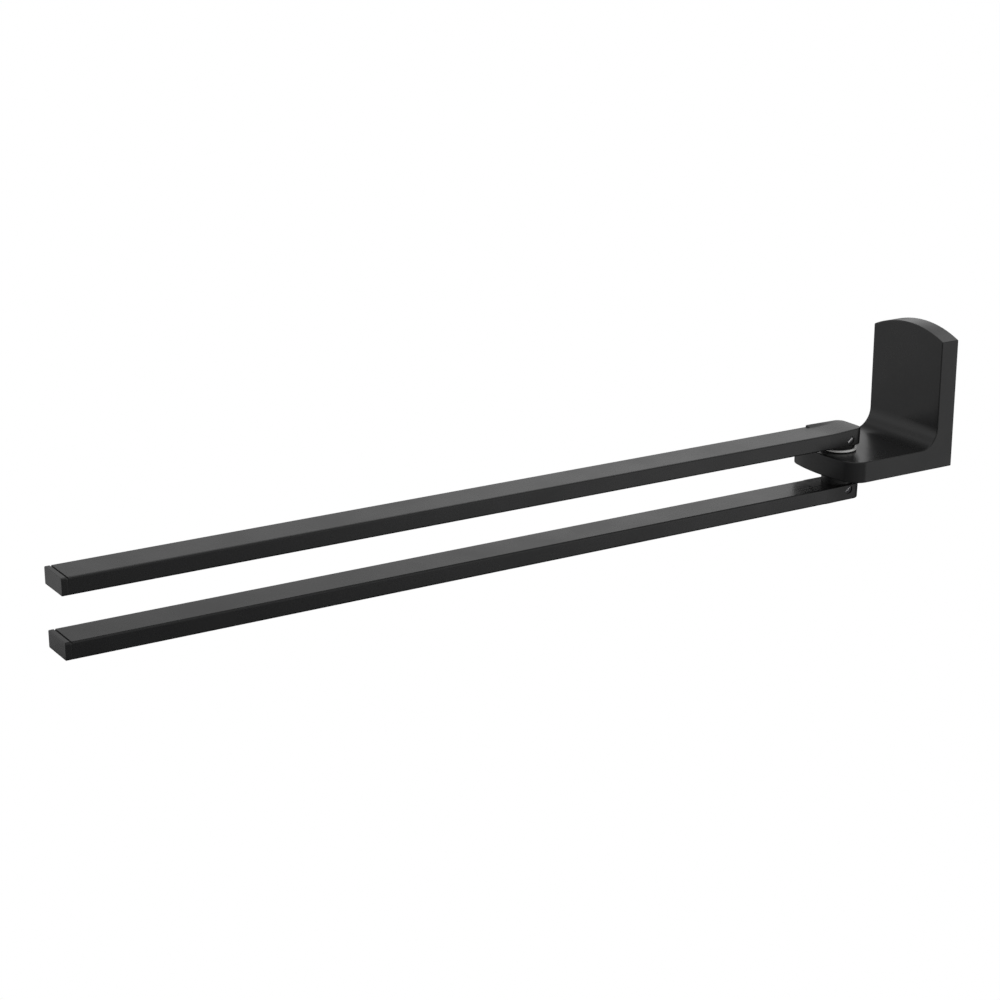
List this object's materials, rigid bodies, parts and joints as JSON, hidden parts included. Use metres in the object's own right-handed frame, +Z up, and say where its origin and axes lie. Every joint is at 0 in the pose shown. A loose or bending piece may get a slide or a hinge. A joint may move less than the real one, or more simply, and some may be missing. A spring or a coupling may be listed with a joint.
{
  "type": "swing arm towel bar",
  "caption": "Wall bracket with a shelf that carries flat towel arms above and below it, each swinging on one vertical pin.",
  "frame": {"origin": "middle of the wall screw pattern, on the wall face", "axes": "+Z up, +Y into the wall, arms reach along -Y at rest, set screws on the +X side"},
  "size_m": [0.05, 0.4605, 0.0829],
  "materials": {
    "black_casting": "satin black coating on a zinc casting",
    "black_bar": "satin black coating on an aluminium tube",
    "black_cap": "satin black coating on a zinc cap",
    "white_plastic": "smooth white acetal",
    "black_plastic": "smooth black acetal",
    "bush_plastic": "natural acetal",
    "pin_steel": "ground stainless steel",
    "screw_steel": "dark steel set screw",
    "black_screw": "black oxide on steel",
    "plate_steel": "zinc plated steel"
  },
  "bodies": {
    "root": {"wall_bracket": "black_casting", "wall_plate": "plate_steel", "bracket_lock_screw": "black_screw", "pivot_pin": "pin_steel", "upper_washer": "white_plastic", "lower_washer": "black_plastic"},
    "upper_arm": {"upper_hub": "black_casting", "upper_bush": "bush_plastic", "upper_set_screw": "screw_steel", "upper_bar": "black_bar", "upper_bar_screw": "black_screw", "upper_end_cap": "black_cap"},
    "lower_arm": {"lower_hub": "black_casting", "lower_bush": "bush_plastic", "lower_set_screw": "screw_steel", "lower_bar": "black_bar", "lower_bar_screw": "black_screw", "lower_end_cap": "black_cap"}
  },
  "joints": [
    {"name": "upper_swing", "type": "hinge", "parent": "root", "child": "upper_arm", "pos_m": [0, -0.052, -0.017], "axis": [0, 0, 1], "range_deg": [-90, 90]},
    {"name": "lower_swing", "type": "hinge", "parent": "root", "child": "lower_arm", "pos_m": [0, -0.052, -0.0439], "axis": [0, 0, 1], "range_deg": [-90, 90]}
  ]
}
